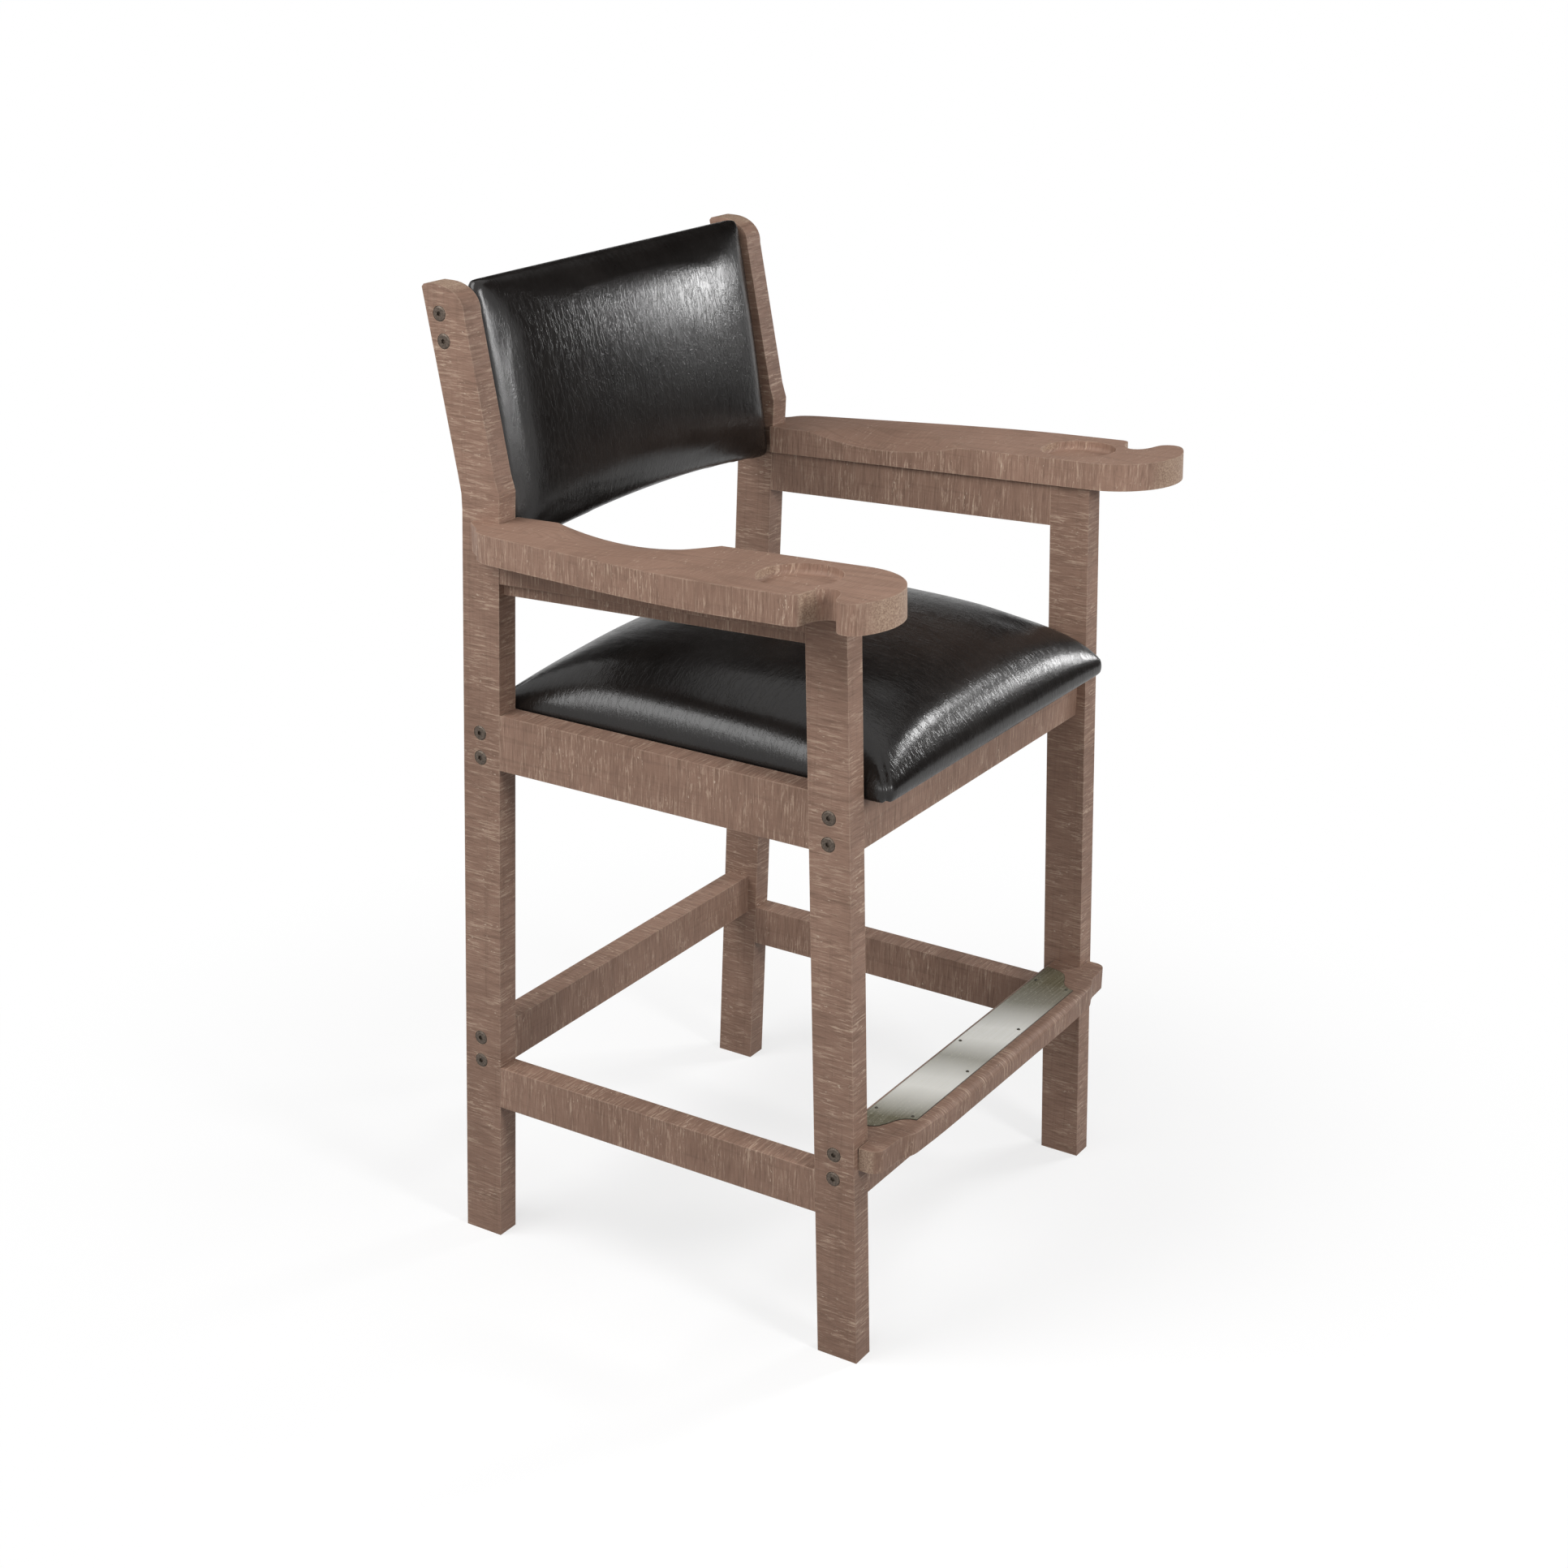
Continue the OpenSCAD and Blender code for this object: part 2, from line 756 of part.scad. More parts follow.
dome_k = [0.994, 0.98, 0.955, 0.92, 0.87, 0.79, 0.68, 0.52, 0.34, 0.16];

function bulge(t) = pow(max(0, 1 - pow(min(1, abs(t)), 2.6)), 0.33);

function dome(u, v, k) = bulge(u) * bulge(v) * pow(1 - pow(k, 16), 0.42);

// Crowned pad: scaled rings of one outline, from the flat base at z0 up to the crown.
// e draws every ring in by that much.
module pad(line, cy, a, b, z0, edge, crown, e) {
    n = len(line);
    sx = (a - e) / a;
    sy = (b - e) / b;
    lo = z0 + e;
    mid = z0 + edge;
    hi = crown - e;
    low = [[0.99, 0], [1, min(edge * 0.35, 6)], [1, edge - e]];
    m = len(low) + len(dome_k);
    pts = concat(
        [for (q = low) for (p = line) [p[0] * sx * q[0], cy + (p[1] - cy) * sy * q[0], lo + q[1]]],
        [for (k = dome_k) for (p = line) [p[0] * sx * k, cy + (p[1] - cy) * sy * k,
            mid + hi * dome(p[0] * k / a, (p[1] - cy) * k / b, k)]],
        [[0, cy, lo], [0, cy, mid + hi]]);
    sides = [for (j = [0 : m - 2]) for (i = [0 : n - 1]) let(q = (i + 1) % n)
        each [[j * n + i, (j + 1) * n + i, (j + 1) * n + q], [j * n + i, (j + 1) * n + q, j * n + q]]];
    base = [for (i = [0 : n - 1]) [m * n, i, (i + 1) % n]];
    top = [for (i = [0 : n - 1]) [m * n + 1, (m - 1) * n + (i + 1) % n, (m - 1) * n + i]];
    polyhedron(points = pts, faces = concat(sides, base, top), convexity = 4);
}

seat_a = xi - 1.5;
seat_y0 = front_y(seat_z + 12) - seat_over;
seat_y1 = bolt_rear_y + cross_t / 2 - 4;
seat_c = (seat_y0 + seat_y1) / 2;
seat_b = (seat_y1 - seat_y0) / 2;
seat_edge = seat_board_t + 6;
seat_line = pad_outline(seat_a, seat_y0, seat_y1, seat_r, 0);

module seat_pad(e) {
    pad(seat_line, seat_c, seat_a, seat_b, seat_z, seat_edge, seat_crown, e);
}

module seat_board_block() {
    translate([0, 0, seat_z + cushion_r]) linear_extrude(seat_board_t)
        polygon(pad_outline(seat_a - 9, seat_y0 + 9, seat_y1 - 9, max(seat_r - 5, 12), 0));
}

module seat_board() {
    color(ply) place() difference() {
        seat_board_block();
        both() at_seat_screws() translate([0, 0, -2]) cylinder(d = 4, h = 13, $fn = 24);
    }
}

module seat_foam() {
    color(foam) place() difference() {
        seat_pad(cushion_r + 0.3);
        translate([-seat_a, seat_y0 - 5, seat_z - 5])
            cube([2 * seat_a, seat_y1 - seat_y0 + 10, seat_board_t + cushion_r + 5]);
    }
}

module seat_cover() {
    color(hide) place() difference() {
        seat_pad(0);
        seat_pad(cushion_r);
        translate([-seat_a + 38, seat_y0 + 38, seat_z - 5])
            cube([2 * seat_a - 76, seat_y1 - seat_y0 - 76, 10]);
        both() at_seat_screws() translate([0, 0, -2]) cylinder(d = 4, h = 8, $fn = 24);
    }
}

module seat_lining() {
    color(cloth) place() translate([-seat_a + 39, seat_y0 + 39, seat_z + cushion_r - 0.8])
        cube([2 * seat_a - 78, seat_y1 - seat_y0 - 78, 0.8]);
}

pad_a = xi - 1.2;
pad_line = pad_outline(pad_a, 0, pad_l, 16, pad_arch);

module back_pad(e) {
    half = pad_l / 2 + pad_arch / 4;
    translate([0, 0, -pad_back]) pad(pad_line, half, pad_a, half, 0, pad_back + 2, pad_crown, e);
}

module back_board_block() {
    translate([0, 0, -pad_board_t]) linear_extrude(pad_board_t - 0.2)
        polygon(pad_outline(pad_a - 8, 9, pad_l - 8, 12, pad_arch));
}

module at_back_screws() {
    for (w = [low_back_w + low_back_h / 2, bolt_pad_w]) translate([pad_a * 0.45, w, -pad_back]) children();
}

module back_screw_void() {
    translate([0, 0, -back_rail_t - 2]) cylinder(d = 4, h = back_rail_t + 10, $fn = 24);
    translate([0, 0, -back_rail_t - 2]) cylinder(d = 9, h = 9, $fn = 32);
}

module back_board() {
    color(ply) place() pad_frame() difference() {
        back_board_block();
        both() at_back_screws() back_screw_void();
    }
}

module back_foam() {
    color(foam) place() pad_frame() difference() {
        back_pad(cushion_r + 0.3);
        translate([-pad_a, -5, -pad_back - 5]) cube([2 * pad_a, pad_l + 10, pad_back + 5]);
    }
}

module back_cover() {
    color(hide) place() pad_frame() difference() {
        back_pad(0);
        back_pad(cushion_r);
        translate([-pad_a + 38, pad_arch + 34, -pad_back - 5])
            cube([2 * pad_a - 76, pad_l - pad_arch - 68, 10]);
        both() at_back_screws() back_screw_void();
    }
}

module back_lining() {
    color(cloth) place() pad_frame() difference() {
        translate([-pad_a + 39, pad_arch + 35, -pad_board_t - 0.8])
            cube([2 * pad_a - 78, pad_l - pad_arch - 70, 0.8]);
        both() at_back_screws() back_screw_void();
    }
}

module back_rail(w0, h) {
    translate([-xi, w0, -pad_back - back_rail_t]) cube([2 * xi, h, back_rail_t]);
}

module upper_back_rail() {
    color(wood) place() difference() {
        pad_frame() back_rail(bolt_pad_w - back_rail_h / 2, back_rail_h);
        both() at_pad() bolt_void(-1, cross_t);
        pad_frame() both() at_back_screws() back_screw_void();
    }
}

module lower_back_rail() {
    color(wood) place() difference() {
        pad_frame() back_rail(low_back_w, low_back_h);
        both() back_rail_dowels();
        pad_frame() both() at_back_screws() back_screw_void();
    }
}

module back_screws() {
    color(bronze) place() pad_frame() both() at_back_screws() {
        translate([0, 0, -back_rail_t + 5]) cylinder(d = 8, h = 2, $fn = 32);
        translate([0, 0, -back_rail_t + 6]) cylinder(d = 4, h = back_rail_t + 2, $fn = 24);
    }
}

module bolts_one_side() {
    at_front_seat() bolt();
    at_rear_seat() bolt();
    at_stretcher() bolt();
    at_foot() bolt();
    at_pad() bolt();
}

module nuts_one_side() {
    at_front_seat() nut();
    at_rear_seat() nut();
    at_stretcher() nut();
    at_foot() nut();
    at_pad() nut();
}

module frame_bolts() {
    color(bronze) place() both() bolts_one_side();
}

module barrel_nuts() {
    color(steel) place() both() nuts_one_side();
}

module dowels() {
    color(ply) place() both() dowels_one_side();
}

back_post_left();
back_post_right();
front_post_left();
front_post_right();
lower_side_rail_left();
lower_side_rail_right();
seat_side_rail_left();
seat_side_rail_right();
front_seat_rail();
rear_seat_rail();
rear_stretcher();
front_foot_rail();
foot_board();
foot_plate();
plate_screws();
arm_rail_left();
arm_rail_right();
arm_cleat_left();
arm_cleat_right();
armrest_left();
armrest_right();
armrest_screws();
seat_cleat_left();
seat_cleat_right();
seat_board();
seat_foam();
seat_cover();
seat_lining();
seat_screws();
upper_back_rail();
lower_back_rail();
back_board();
back_foam();
back_cover();
back_lining();
back_screws();
frame_bolts();
barrel_nuts();
dowels();
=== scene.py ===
import math

import bmesh
import bpy
import numpy as np
from mathutils import Matrix, Vector


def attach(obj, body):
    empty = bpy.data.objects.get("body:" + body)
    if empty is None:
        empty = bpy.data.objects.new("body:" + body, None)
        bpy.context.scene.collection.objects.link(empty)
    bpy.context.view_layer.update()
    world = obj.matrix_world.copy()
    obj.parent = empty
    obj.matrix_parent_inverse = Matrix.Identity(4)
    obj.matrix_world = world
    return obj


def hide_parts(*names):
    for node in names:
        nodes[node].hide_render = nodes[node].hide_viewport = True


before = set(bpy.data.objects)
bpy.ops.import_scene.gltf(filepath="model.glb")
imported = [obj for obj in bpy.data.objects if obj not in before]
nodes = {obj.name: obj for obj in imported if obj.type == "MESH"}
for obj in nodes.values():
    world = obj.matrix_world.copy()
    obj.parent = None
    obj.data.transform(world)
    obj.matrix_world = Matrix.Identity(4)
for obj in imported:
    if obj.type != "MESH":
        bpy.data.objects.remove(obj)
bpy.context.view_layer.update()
scene = bpy.context.scene

MM = 0.001
Y_MID = -285.139          # plan centre of the chair in the sizes below
XI = 288.5                # inner faces of the posts


def add_object(name, data):
    obj = bpy.data.objects.new(name, data)
    scene.collection.objects.link(obj)
    return obj


def mesh_object(name, verts, faces):
    mesh = bpy.data.meshes.new(name)
    mesh.from_pydata(verts, [], faces)
    return add_object(name, mesh)


# ---------------------------------------------------------------- node helpers
class Mat:
    """One material, with short ways to add shader nodes and link them."""

    def __init__(self, name):
        self.mat = bpy.data.materials.new(name)
        self.mat.use_nodes = True
        self.tree = self.mat.node_tree
        self.bsdf = self.tree.nodes["Principled BSDF"]
        self.out = self.tree.nodes["Material Output"]

    def node(self, kind, **values):
        n = self.tree.nodes.new(kind)
        for key, value in values.items():
            setattr(n, key, value)
        return n

    def link(self, a, b):
        self.tree.links.new(a, b)

    def coords(self, scale, location=(0, 0, 0)):
        """Object coordinates in metres times scale, so a scale of 100 gives features of 10 mm."""
        tex = self.node("ShaderNodeTexCoord")
        mapping = self.node("ShaderNodeMapping")
        mapping.inputs["Scale"].default_value = scale
        mapping.inputs["Location"].default_value = location
        self.link(tex.outputs["Object"], mapping.inputs["Vector"])
        return mapping.outputs["Vector"]

    def noise(self, vector, detail=3.0, rough=0.5, distortion=0.0):
        n = self.node("ShaderNodeTexNoise")
        n.inputs["Scale"].default_value = 1.0
        n.inputs["Detail"].default_value = detail
        n.inputs["Roughness"].default_value = rough
        n.inputs["Distortion"].default_value = distortion
        self.link(vector, n.inputs["Vector"])
        return n.outputs["Fac"]

    def ramp(self, fac, stops):
        r = self.node("ShaderNodeValToRGB")
        els = r.color_ramp.elements
        while len(els) < len(stops):
            els.new(0.5)
        for el, (pos, col) in zip(els, stops):
            el.position = pos
            el.color = (col, col, col, 1) if isinstance(col, (int, float)) else (*col, 1)
        self.link(fac, r.inputs["Fac"])
        return r.outputs["Color"]

    def mix(self, fac, a, b):
        m = self.node("ShaderNodeMix", data_type="RGBA", blend_type="MIX")
        for sock, value in ((m.inputs[0], fac), (m.inputs[6], a), (m.inputs[7], b)):
            if isinstance(value, (int, float)):
                sock.default_value = value
            elif isinstance(value, tuple):
                sock.default_value = (*value, 1)
            else:
                self.link(value, sock)
        return m.outputs[2]

    def math(self, op, a, b=0.0):
        m = self.node("ShaderNodeMath", operation=op)
        for sock, value in ((m.inputs[0], a), (m.inputs[1], b)):
            if isinstance(value, (int, float)):
                sock.default_value = value
            else:
                self.link(value, sock)
        return m.outputs[0]

    def bump(self, height, strength, distance, normal=None):
        b = self.node("ShaderNodeBump")
        b.inputs["Strength"].default_value = strength
        b.inputs["Distance"].default_value = distance
        self.link(height, b.inputs["Height"])
        if normal is not None:
            self.link(normal, b.inputs["Normal"])
        return b.outputs["Normal"]


# ------------------------------------------------------------------- materials
def facing(m, axis):
    """How much a face looks along one of the object's own axes, from 0 to 1."""
    tex = m.node("ShaderNodeTexCoord")
    parts = m.node("ShaderNodeSeparateXYZ")
    m.link(tex.outputs["Normal"], parts.inputs[0])
    return m.math("ABSOLUTE", parts.outputs[axis])


def near_edge(m, radius, full, none):
    """1 along the edges of a piece: the rounded normal leaves the flat one only there."""
    round_n = m.node("ShaderNodeBevel", samples=4)
    round_n.inputs["Radius"].default_value = radius
    geo = m.node("ShaderNodeNewGeometry")
    dot = m.node("ShaderNodeVectorMath", operation="DOT_PRODUCT")
    m.link(round_n.outputs["Normal"], dot.inputs[0])
    m.link(geo.outputs["True Normal"], dot.inputs[1])
    return m.ramp(dot.outputs["Value"], [(full, 1.0), (none, 0.0)])


def wood(name, axis, seed, lift=0.0, smooth_top=False):
    """Taupe stained wood: long grain along axis, short saw marks across it. seed picks another
    stretch of the same board, and lift makes all its colours paler."""
    m = Mat(name)

    def spread(along, across):
        return tuple(along if i == axis else across for i in range(3))

    def both(a, b):
        return m.math("MULTIPLY", a, b)

    shift = (seed, seed * 1.7, seed * 0.6)
    fine = m.noise(m.coords(spread(430, 34), location=shift), detail=4, rough=0.66, distortion=0.30)
    second = m.noise(m.coords(spread(250, 60), location=shift), detail=3, rough=0.60, distortion=0.25)
    coarse = m.noise(m.coords(spread(105, 10), location=shift), detail=3, rough=0.55, distortion=0.25)
    grain = m.noise(m.coords(spread(6, 190), location=shift), detail=4, rough=0.6, distortion=0.6)
    cloud = m.noise(m.coords((5, 5, 5), location=shift), detail=3, rough=0.55)
    patch = m.noise(m.coords(spread(34, 22), location=shift), detail=3, rough=0.6)
    fleck = m.noise(m.coords(spread(360, 150), location=shift), detail=2, rough=0.5)

    def stain(r, g, b):
        return tuple(c * (1.0 + lift) for c in (r, g, b))

    dark, pale = stain(0.135, 0.081, 0.056), stain(0.520, 0.385, 0.290)
    clouded = m.ramp(cloud, [(0.34, 0.0), (0.66, 1.0)])
    col = m.mix(clouded, stain(0.222, 0.134, 0.096), stain(0.288, 0.178, 0.130))
    bands = m.ramp(coarse, [(0.38, 1.0), (0.52, 0.0)])
    cuts = m.ramp(fine, [(0.36, 1.0), (0.46, 0.0)])
    lines = both(m.ramp(fine, [(0.54, 0.0), (0.63, 1.0)]), m.ramp(patch, [(0.38, 0.18), (0.60, 1.0)]))
    strokes = both(m.ramp(second, [(0.58, 0.0), (0.66, 1.0)]), m.ramp(patch, [(0.44, 0.0), (0.60, 1.0)]))
    sawn = 1.0
    if smooth_top:
        # planed flats keep little of the saw marks that the sawn edges show
        sawn = m.ramp(facing(m, 2), [(0.55, 1.0), (0.90, 0.22)])
        ring = m.noise(m.coords((11, 2.2, 11), location=shift), detail=1, rough=0.4, distortion=0.9)
        rings = m.ramp(m.math("SINE", both(ring, 95.0)), [(0.25, 0.0), (0.95, 1.0)])
        rings = both(rings, m.ramp(facing(m, 2), [(0.6, 0.0), (0.9, 1.0)]))
        col = m.mix(both(rings, 0.26), col, dark)
    col = m.mix(both(m.ramp(grain, [(0.30, 1.0), (0.46, 0.0)]), 0.30), col, dark)

    def laid(mask, amount):
        return both(both(mask, amount), sawn)

    col = m.mix(laid(bands, 0.22), col, dark)
    col = m.mix(laid(cuts, 0.46), col, dark)
    col = m.mix(laid(lines, 0.60), col, pale)
    col = m.mix(laid(strokes, 0.46), col, pale)
    spots = both(m.ramp(fleck, [(0.67, 0.0), (0.72, 1.0)]), m.ramp(patch, [(0.46, 0.0), (0.60, 1.0)]))
    col = m.mix(both(spots, 0.60), col, stain(0.64, 0.52, 0.41))

    # end grain takes the stain unevenly and stays paler
    ends = m.ramp(facing(m, axis), [(0.80, 0.0), (0.95, 1.0)])
    pores = m.noise(m.coords((520, 520, 520), location=shift), detail=3)
    open_pores = m.ramp(pores, [(0.40, 0.0), (0.62, 1.0)])
    end_col = m.mix(open_pores, stain(0.235, 0.155, 0.110), stain(0.430, 0.315, 0.230))
    col = m.mix(both(ends, 0.75), col, end_col)

    # the arrises are paler: partly stain rubbed off, partly a painted highlight along the edges
    worn_and_highlit = near_edge(m, 0.0024, 0.86, 0.99)
    rub = m.noise(m.coords((70, 70, 70), location=shift), detail=4, rough=0.65)
    worn_and_highlit = both(worn_and_highlit, m.ramp(rub, [(0.42, 0.10), (0.58, 0.85)]))
    col = m.mix(both(worn_and_highlit, 0.60), col, pale)

    m.link(col, m.bsdf.inputs["Base Color"])
    m.link(m.ramp(fine, [(0.3, 0.66), (0.7, 0.52)]), m.bsdf.inputs["Roughness"])
    m.bsdf.inputs["Specular IOR Level"].default_value = 0.30
    n = m.bump(both(fine, sawn), 0.50, 0.0011)
    n = m.bump(both(coarse, sawn), 0.22, 0.0022, n)
    n = m.bump(grain, 0.16, 0.0006, n)
    m.link(n, m.bsdf.inputs["Normal"])
    return m.mat


def leather(name, pull, side_pull, calm, creased):
    """Black leatherette; pull stretches its fine creases along the way it was drawn tight,
    side_pull does so on the faces that look sideways, calm is what is left of them at the sides,
    and creased is how strong they are."""
    m = Mat(name)
    warp = m.noise(m.coords((20, 20, 20)), detail=4, rough=0.6)
    # pebbled grain: cells of about 3 mm, pushed out of line by a larger noise
    cells = m.node("ShaderNodeTexVoronoi", feature="DISTANCE_TO_EDGE")
    cells.inputs["Scale"].default_value = 1.0
    vec = m.node("ShaderNodeVectorMath", operation="ADD")
    m.link(m.coords((360, 360, 360)), vec.inputs[0])
    big = m.node("ShaderNodeTexNoise")
    big.inputs["Scale"].default_value = 1.0
    big.inputs["Detail"].default_value = 3.0
    m.link(m.coords((80, 80, 80)), big.inputs["Vector"])
    grow = m.node("ShaderNodeVectorMath", operation="SCALE")
    grow.inputs["Scale"].default_value = 3.0
    m.link(big.outputs["Color"], grow.inputs[0])
    m.link(grow.outputs["Vector"], vec.inputs[1])
    m.link(vec.outputs["Vector"], cells.inputs["Vector"])
    pebble = m.ramp(cells.outputs["Distance"], [(0.0, 0.0), (0.16, 1.0)])
    turn = m.math("SUBTRACT", facing(m, 0), m.math("MULTIPLY", facing(m, 1), 0.9))
    turn = m.math("ADD", m.math("ADD", turn, 0.5), m.math("MULTIPLY", warp, 0.1))
    turn = m.ramp(turn, [(0.50, 0.0), (0.70, 1.0)])

    def drawn(k, detail, rough):
        a, b = (m.noise(m.coords(tuple(v * k for v in way)), detail=detail, rough=rough, distortion=0.8)
                for way in (pull, side_pull))
        return m.mix(turn, a, b)

    parts = m.node("ShaderNodeSeparateXYZ")
    m.link(m.node("ShaderNodeTexCoord").outputs["Object"], parts.inputs[0])
    kept = m.ramp(m.math("ABSOLUTE", parts.outputs[0]), [(0.235, 1.0), (0.270, calm)])
    crease = m.ramp(drawn(1.0, 2, 0.50), [(0.440, 0.0), (0.500, 1.0), (0.560, 0.0)])
    crease = m.math("MULTIPLY", crease, kept)
    soft = m.math("MULTIPLY", drawn(0.40, 3, 0.55), kept)
    mesh = m.noise(m.coords((150, 150, 150)), detail=2, rough=0.5, distortion=1.0)
    net = m.math("MULTIPLY", m.ramp(mesh, [(0.450, 0.0), (0.500, 1.0), (0.550, 0.0)]), kept)
    roll = m.noise(m.coords((12, 12, 12)), detail=2, rough=0.5, distortion=0.5)
    blotches = m.ramp(warp, [(0.35, 0.0), (0.68, 1.0)])
    tone = m.mix(blotches, (0.0070, 0.0056, 0.0050), (0.0125, 0.0105, 0.0095))
    m.link(tone, m.bsdf.inputs["Base Color"])
    dull = m.math("ADD", m.math("MULTIPLY", soft, 0.26), m.math("MULTIPLY", crease, 0.07))
    m.link(m.math("ADD", dull, 0.20), m.bsdf.inputs["Roughness"])
    m.bsdf.inputs["Specular IOR Level"].default_value = 0.04
    m.bsdf.inputs["Coat Weight"].default_value = 0.36
    m.bsdf.inputs["Coat IOR"].default_value = 1.8
    m.bsdf.inputs["Coat Roughness"].default_value = 0.22
    n = m.bump(pebble, 0.05, 0.0003)
    n = m.bump(net, 0.05, 0.0003, n)
    n = m.bump(crease, 0.27 * creased, 0.0004, n)
    n = m.bump(soft, 0.26 * creased, 0.0012, n)
    n = m.bump(roll, 0.12, 0.0035, n)
    for socket in ("Normal", "Coat Normal"):
        m.link(n, m.bsdf.inputs[socket])
    return m.mat


def plate_metal(name):
    """Brushed plate: brush marks along its length, a painted reflection in bright bands across it,
    painted shade along its edges.
    """
    m = Mat(name)
    brush = m.noise(m.coords((7, 900, 60)), detail=3, rough=0.6)
    pit = m.noise(m.coords((260, 420, 260)), detail=4, rough=0.7)
    tex = m.node("ShaderNodeTexCoord")
    parts = m.node("ShaderNodeSeparateXYZ")
    m.link(tex.outputs["Object"], parts.inputs[0])
    wander = m.noise(m.coords((6, 10, 6)), detail=3)
    along = m.math("ADD", parts.outputs[0], m.math("MULTIPLY", parts.outputs[1], 0.35))
    along = m.math("ADD", along, m.math("MULTIPLY", wander, 0.045))
    # painted reflection: two bright bands standing in for the surroundings mirrored in the plate, darker
    # at both ends
    place = m.math("ADD", m.math("MULTIPLY", along, 1.9), 0.645)
    painted_reflection = m.ramp(place, [(0.08, 0.02), (0.25, 0.90), (0.31, 0.86), (0.43, 0.36),
                           (0.55, 1.0), (0.63, 1.0), (0.80, 0.18), (0.92, 0.0)])
    # the ramp above mixes the plate's colour from dark to near white: this is painted reflection, not
    # tarnish
    tint = m.mix(painted_reflection, (0.118, 0.104, 0.058), (0.97, 0.96, 0.91))
    streaks = m.math("MULTIPLY", m.ramp(brush, [(0.42, 0.0), (0.62, 1.0)]), 0.16)
    tint = m.mix(streaks, tint, (0.66, 0.64, 0.52))
    pits = m.math("MULTIPLY", m.ramp(pit, [(0.58, 0.0), (0.66, 1.0)]), 0.34)
    tint = m.mix(pits, tint, (0.80, 0.78, 0.64))
    # painted shade: the side faces and the rim are darkened to near black, standing in for the shadow in
    # the gap round the plate
    side = m.ramp(facing(m, 2), [(0.35, 1.0), (0.75, 0.0)])
    side = m.math("MAXIMUM", side, near_edge(m, 0.0018, 0.90, 0.985))
    tint = m.mix(m.math("MULTIPLY", side, 0.90), tint, (0.020, 0.018, 0.014))
    m.link(tint, m.bsdf.inputs["Base Color"])
    m.bsdf.inputs["Metallic"].default_value = 0.22
    m.link(m.ramp(brush, [(0.3, 0.46), (0.7, 0.36)]), m.bsdf.inputs["Roughness"])
    n = m.bump(brush, 0.14, 0.0003)
    n = m.bump(pit, 0.10, 0.0004, n)
    m.link(n, m.bsdf.inputs["Normal"])
    return m.mat


def dark_metal(name, colour, metallic, rough):
    m = Mat(name)
    mottle = m.noise(m.coords((420, 420, 420)), detail=3)
    lighter = tuple(min(1.0, c * 2.1) for c in colour)
    tint = m.mix(m.ramp(mottle, [(0.40, 0.0), (0.70, 1.0)]), colour, lighter)
    m.link(tint, m.bsdf.inputs["Base Color"])
    m.bsdf.inputs["Metallic"].default_value = metallic
    m.link(m.ramp(mottle, [(0.3, rough), (0.7, rough + 0.12)]), m.bsdf.inputs["Roughness"])
    m.link(m.bump(mottle, 0.15, 0.0003), m.bsdf.inputs["Normal"])
    return m.mat


def plain_wood(name, light, deep, axis):
    m = Mat(name)
    scale = tuple(9 if i == axis else 160 for i in range(3))
    grain = m.noise(m.coords(scale), detail=5, rough=0.6, distortion=0.8)
    m.link(m.mix(m.ramp(grain, [(0.35, 0.0), (0.65, 1.0)]), deep, light), m.bsdf.inputs["Base Color"])
    m.bsdf.inputs["Roughness"].default_value = 0.68
    m.link(m.bump(grain, 0.25, 0.0006), m.bsdf.inputs["Normal"])
    return m.mat


def cloth(name, colour):
    """Thin non-woven lining with a faint felted weave."""
    m = Mat(name)
    felt = m.noise(m.coords((900, 900, 900)), detail=4, rough=0.7)
    lighter = tuple(c * 2.0 for c in colour)
    m.link(m.mix(felt, colour, lighter), m.bsdf.inputs["Base Color"])
    m.bsdf.inputs["Roughness"].default_value = 0.95
    m.bsdf.inputs["Sheen Weight"].default_value = 0.1
    m.link(m.bump(felt, 0.5, 0.0006), m.bsdf.inputs["Normal"])
    return m.mat


def foam(name):
    m = Mat(name)
    cells = m.noise(m.coords((500, 500, 500)), detail=4, rough=0.7)
    m.link(m.mix(cells, (0.62, 0.55, 0.32), (0.82, 0.76, 0.52)), m.bsdf.inputs["Base Color"])
    m.bsdf.inputs["Roughness"].default_value = 0.95
    m.link(m.bump(cells, 0.6, 0.001), m.bsdf.inputs["Normal"])
    return m.mat


def dress(obj, mat):
    obj.data.materials.clear()
    obj.data.materials.append(mat)


# ------------------------------------------------- boards and plate with eased edges
SHARP = math.radians(32)      # CAD edges sharper than this are rounded over


def eased(node, radius, mat, segments=3):
    """A copy of a CAD node whose outer edges are rounded over, standing for that node."""
    src = nodes[node]
    bm = bmesh.new()
    bm.from_mesh(src.data)
    bmesh.ops.remove_doubles(bm, verts=bm.verts, dist=2e-6)
    bmesh.ops.dissolve_limit(bm, angle_limit=math.radians(0.6), verts=bm.verts, edges=bm.edges)
    edges = [e for e in bm.edges
             if len(e.link_faces) == 2 and e.is_convex and e.calc_face_angle(0) > SHARP]
    bmesh.ops.bevel(bm, geom=edges, offset=radius, segments=segments, profile=0.5,
                    affect="EDGES", clamp_overlap=True, offset_type="OFFSET")
    for f in bm.faces:
        f.smooth = True
    mesh = bpy.data.meshes.new(node + "_visual")
    bm.to_mesh(mesh)
    bm.free()
    piece = add_object(node + "_visual", mesh)
    mesh.set_sharp_from_angle(angle=math.radians(40))
    weighted = piece.modifiers.new("weights", "WEIGHTED_NORMAL")
    weighted.keep_sharp = True
    apply_modifiers(piece)
    dress(piece, mat)
    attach(piece, "root")
    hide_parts(node)


def apply_modifiers(obj):
    deps = bpy.context.evaluated_depsgraph_get()
    result = bpy.data.meshes.new_from_object(obj.evaluated_get(deps))
    obj.modifiers.clear()
    old = obj.data
    obj.data = result
    bpy.data.meshes.remove(old)


